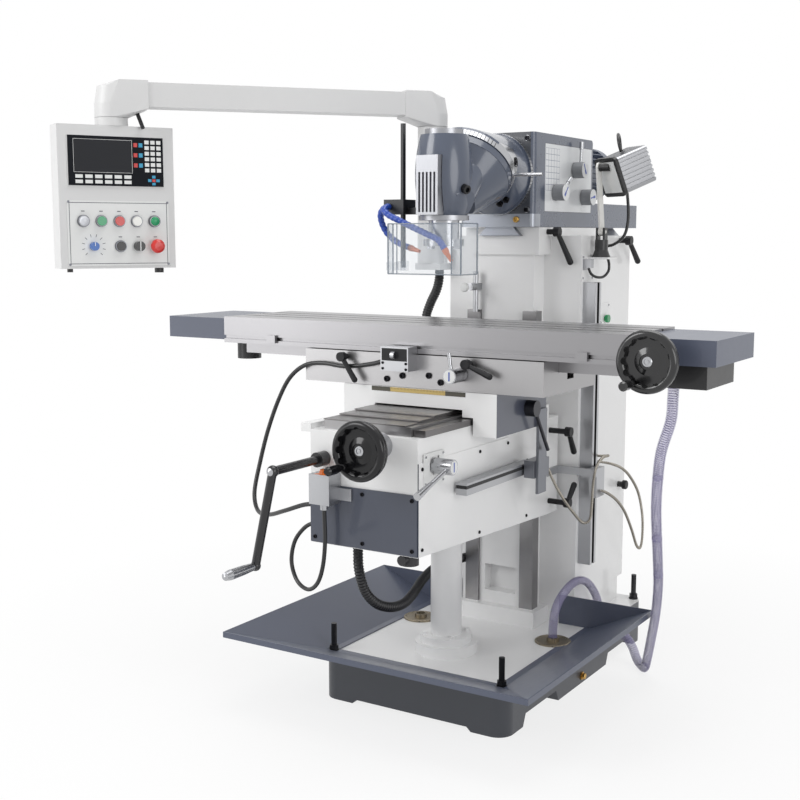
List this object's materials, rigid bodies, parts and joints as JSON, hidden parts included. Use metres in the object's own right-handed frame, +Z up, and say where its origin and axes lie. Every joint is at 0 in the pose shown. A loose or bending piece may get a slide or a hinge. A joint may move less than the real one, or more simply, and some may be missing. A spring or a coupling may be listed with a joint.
{
  "type": "universal milling machine",
  "caption": "Knee-type universal milling machine with a ram, a double-swivel vertical head, a swivelling T-slot table and a control box on a swing arm.",
  "frame": {"origin": "centre of the base's footprint on the floor", "axes": "+X along the table to the operator's right, +Y towards the column, +Z up"},
  "size_m": [1.7841, 1.819, 1.73],
  "materials": {
    "dark_paint": "satin dark grey paint",
    "white_paint": "gloss white paint",
    "tray_paint": "satin blue-grey paint",
    "black_steel": "blackened steel",
    "ram_paint": "gloss blue-grey paint",
    "steel": "ground steel",
    "saddle_paint": "satin blue-grey paint",
    "aluminium": "satin",
    "black_plastic": "gloss",
    "black_rubber": "matt",
    "clear_plastic": "clear",
    "clear_hose": "clear with a steel spiral",
    "spiral_steel": "bright",
    "blue_plastic": "satin",
    "grey_paint": "fine textured light grey paint",
    "green_plastic": "gloss",
    "red_plastic": "gloss",
    "white_plastic": "gloss",
    "motor_paint": "satin"
  },
  "bodies": {
    "base": {"base_casting": "dark_paint", "drip_tray": "tray_paint", "levelling_bolts": "black_steel", "column": "white_paint", "column_fittings": "aluminium", "screw_tube": "white_paint", "elevating_screw": "steel", "thick_conduits": "black_rubber", "reader_conduits": "spiral_steel", "clear_hoses": "clear_hose", "lamp_cables": "black_rubber"},
    "ram": {"ram_housing": "ram_paint", "main_motor": "motor_paint"},
    "carrier": {"head_carrier": "ram_paint"},
    "head": {"spindle_head": "ram_paint", "head_rings": "aluminium", "coolant_fittings": "blue_plastic"},
    "knee": {"knee": "white_paint", "knee_covers": "tray_paint", "way_covers": "steel", "knee_fittings": "aluminium", "feed_motor": "motor_paint", "bed_conduit": "black_rubber"},
    "saddle": {"saddle": "saddle_paint", "cross_reader": "tray_paint"},
    "bed": {"swivel_bed": "steel", "limit_switch": "aluminium"},
    "table": {"table": "steel", "end_boxes": "tray_paint", "leadscrew": "steel"},
    "arm": {"control_arm": "grey_paint"},
    "console": {"control_box": "grey_paint"},
    "column_button": {"column_button": "green_plastic"},
    "ram_clamp_front": {"ram_clamp_front": "black_plastic"},
    "ram_clamp_rear": {"ram_clamp_rear": "black_plastic"},
    "drive_shaft": {"drive_shaft": "steel"},
    "speed_knob_upper": {"speed_knob_upper": "aluminium"},
    "speed_knob_left": {"speed_knob_left": "aluminium"},
    "speed_knob_right": {"speed_knob_right": "aluminium"},
    "spindle": {"spindle": "steel"},
    "chip_guard": {"chip_guard": "clear_plastic"},
    "crank": {"crank": "black_plastic"},
    "cross_handwheel": {"cross_handwheel": "black_plastic"},
    "feed_lever": {"feed_lever": "steel"},
    "knee_clamp_upper": {"knee_clamp_upper": "black_plastic"},
    "knee_clamp_lower": {"knee_clamp_lower": "black_plastic"},
    "saddle_lock": {"saddle_lock": "black_steel"},
    "bed_clamp_left": {"bed_clamp_left": "black_plastic"},
    "bed_clamp_right": {"bed_clamp_right": "black_plastic"},
    "feed_dial": {"feed_dial": "aluminium"},
    "table_handwheel": {"table_handwheel": "black_plastic"},
    "start_button": {"start_button": "green_plastic"},
    "stop_button": {"stop_button": "red_plastic"},
    "jog_button": {"jog_button": "white_plastic"},
    "speed_pot": {"speed_pot": "blue_plastic"},
    "lube_button": {"lube_button": "black_plastic"},
    "selector_switch": {"selector_switch": "black_plastic"},
    "emergency_stop": {"emergency_stop": "red_plastic"},
    "lamp_arm": {"lamp_arm": "grey_paint"},
    "lamp_head": {"lamp_head": "aluminium"}
  },
  "joints": [
    {"name": "knee_lift", "type": "slide", "parent": "base", "child": "knee", "axis": [0, 0, 1], "range_m": [-0.22, 0.1], "deforming": ["thick_conduits", "reader_conduits", "clear_hoses", "bed_conduit"]},
    {"name": "saddle_cross", "type": "slide", "parent": "knee", "child": "saddle", "axis": [0, 1, 0], "range_m": [-0.15, 0.05], "deforming": ["reader_conduits", "clear_hoses", "bed_conduit"]},
    {"name": "table_swivel", "type": "hinge", "parent": "saddle", "child": "bed", "pos_m": [0, -0.29, 0.898], "axis": [0, 0, 1], "range_deg": [-30, 30], "deforming": ["clear_hoses", "bed_conduit"]},
    {"name": "table_long", "type": "slide", "parent": "bed", "child": "table", "axis": [1, 0, 0], "range_m": [-0.27, 0.27], "deforming": ["clear_hoses"]},
    {"name": "ram_slide", "type": "slide", "parent": "base", "child": "ram", "axis": [0, -1, 0], "range_m": [-0.1, 0.25]},
    {"name": "head_swivel", "type": "hinge", "parent": "ram", "child": "carrier", "pos_m": [0, -0.02, 1.4735], "axis": [0, 1, 0], "range_deg": [-90, 90]},
    {"name": "head_tilt", "type": "hinge", "parent": "carrier", "child": "head", "pos_m": [0, -0.314, 1.344], "axis": [0, -0.7071, -0.7071], "range_deg": [-45, 45]},
    {"name": "spindle_spin", "type": "hinge", "parent": "head", "child": "spindle", "pos_m": [0, -0.314, 1.2725], "axis": [0, 0, 1], "continuous": true},
    {"name": "drive_spin", "type": "hinge", "parent": "ram", "child": "drive_shaft", "pos_m": [0, 0.18, 1.4735], "axis": [0, 1, 0], "continuous": true},
    {"name": "guard_swing", "type": "hinge", "parent": "head", "child": "chip_guard", "pos_m": [-0.129, -0.314, 1.26], "axis": [0, 0, 1], "range_deg": [-100, 0]},
    {"name": "crank_turn", "type": "hinge", "parent": "knee", "child": "crank", "pos_m": [-0.116, -0.72, 0.741], "axis": [0, 1, 0], "continuous": true},
    {"name": "cross_wheel_turn", "type": "hinge", "parent": "knee", "child": "cross_handwheel", "pos_m": [0.056, -0.72, 0.789], "axis": [0, 1, 0], "continuous": true},
    {"name": "table_wheel_turn", "type": "hinge", "parent": "table", "child": "table_handwheel", "pos_m": [0.66, -0.42, 1.011], "axis": [0, 1, 0], "continuous": true},
    {"name": "upper_knob_turn", "type": "hinge", "parent": "ram", "child": "speed_knob_upper", "pos_m": [0.12, 0.264, 1.4955], "axis": [1, 0, 0], "range_deg": [-40, 40]},
    {"name": "left_knob_turn", "type": "hinge", "parent": "ram", "child": "speed_knob_left", "pos_m": [0.12, 0.128, 1.4255], "axis": [1, 0, 0], "range_deg": [-25, 25]},
    {"name": "right_knob_turn", "type": "hinge", "parent": "ram", "child": "speed_knob_right", "pos_m": [0.12, 0.329, 1.4165], "axis": [1, 0, 0], "range_deg": [-90, 90]},
    {"name": "feed_lever_turn", "type": "hinge", "parent": "knee", "child": "feed_lever", "pos_m": [0.165, -0.637, 0.738], "axis": [1, 0, 0], "range_deg": [-25, 25]},
    {"name": "upper_knee_clamp_turn", "type": "hinge", "parent": "knee", "child": "knee_clamp_upper", "pos_m": [0.16, 0.034, 0.735], "axis": [1, 0, 0], "range_deg": [-60, 0]},
    {"name": "lower_knee_clamp_turn", "type": "hinge", "parent": "knee", "child": "knee_clamp_lower", "pos_m": [0.16, 0.034, 0.524], "axis": [1, 0, 0], "range_deg": [0, 60]},
    {"name": "front_ram_clamp_turn", "type": "hinge", "parent": "base", "child": "ram_clamp_front", "pos_m": [0.12, 0.082, 1.311], "axis": [1, 0, 0], "range_deg": [-60, 0]},
    {"name": "rear_ram_clamp_turn", "type": "hinge", "parent": "base", "child": "ram_clamp_rear", "pos_m": [0.218, 0.394, 1.285], "axis": [1, 0, 0], "range_deg": [-60, 30]},
    {"name": "saddle_lock_turn", "type": "hinge", "parent": "saddle", "child": "saddle_lock", "pos_m": [0.237, -0.272, 0.843], "axis": [1, 0, 0], "range_deg": [-25, 25]},
    {"name": "left_bed_clamp_turn", "type": "hinge", "parent": "bed", "child": "bed_clamp_left", "pos_m": [-0.228, -0.448, 0.973], "axis": [0, 1, 0], "range_deg": [-35, 35]},
    {"name": "right_bed_clamp_turn", "type": "hinge", "parent": "bed", "child": "bed_clamp_right", "pos_m": [0.159, -0.448, 0.973], "axis": [0, 1, 0], "range_deg": [-30, 30]},
    {"name": "feed_dial_turn", "type": "hinge", "parent": "bed", "child": "feed_dial", "pos_m": [0.133, -0.448, 0.944], "axis": [0, 1, 0], "range_deg": [-25, 25]},
    {"name": "arm_swing", "type": "hinge", "parent": "base", "child": "arm", "pos_m": [-0.268, 0.077, 1.63], "axis": [0, 0, 1], "range_deg": [-55, 40]},
    {"name": "console_turn", "type": "hinge", "parent": "arm", "child": "console", "pos_m": [-0.88315, -0.65611, 1.63], "axis": [0, 0, 1], "range_deg": [-60, 60]},
    {"name": "start_button_push", "type": "slide", "parent": "console", "child": "start_button", "axis": [-0.8829, 0.4695, 0], "range_m": [0, 0.004], "stiffness_N_per_m": 600, "springref_m": -0.001},
    {"name": "stop_button_push", "type": "slide", "parent": "console", "child": "stop_button", "axis": [-0.8829, 0.4695, 0], "range_m": [0, 0.004], "stiffness_N_per_m": 600, "springref_m": -0.001},
    {"name": "jog_button_push", "type": "slide", "parent": "console", "child": "jog_button", "axis": [-0.8829, 0.4695, 0], "range_m": [0, 0.004], "stiffness_N_per_m": 600, "springref_m": -0.001},
    {"name": "lube_button_push", "type": "slide", "parent": "console", "child": "lube_button", "axis": [-0.8829, 0.4695, 0], "range_m": [0, 0.004], "stiffness_N_per_m": 600, "springref_m": -0.001},
    {"name": "emergency_stop_push", "type": "slide", "parent": "console", "child": "emergency_stop", "axis": [-0.8829, 0.4695, 0], "range_m": [0, 0.005], "stiffness_N_per_m": 1500, "springref_m": -0.001},
    {"name": "speed_pot_turn", "type": "hinge", "parent": "console", "child": "speed_pot", "pos_m": [-0.8821, -0.73934, 1.2705], "axis": [-0.8829, 0.4695, 0], "range_deg": [-135, 135]},
    {"name": "selector_turn", "type": "hinge", "parent": "console", "child": "selector_switch", "pos_m": [-0.82201, -0.62632, 1.2705], "axis": [-0.8829, 0.4695, 0], "range_deg": [-45, 45]},
    {"name": "column_button_push", "type": "slide", "parent": "base", "child": "column_button", "axis": [-1, 0, 0], "range_m": [0, 0.003], "stiffness_N_per_m": 600, "springref_m": -0.001},
    {"name": "lamp_arm_tilt", "type": "hinge", "parent": "base", "child": "lamp_arm", "pos_m": [0.25, 0.176, 1.311], "axis": [1, 0, 0], "range_deg": [-20, 25], "deforming": ["lamp_cables"]},
    {"name": "lamp_head_tilt", "type": "hinge", "parent": "lamp_arm", "child": "lamp_head", "pos_m": [0.25, 0.1437, 1.49417], "axis": [1, 0, 0], "range_deg": [-12, 20], "deforming": ["lamp_cables"]}
  ],
  "couplings": [
    {"joint": "drive_spin", "follows": "spindle_spin", "ratio": -1}
  ]
}
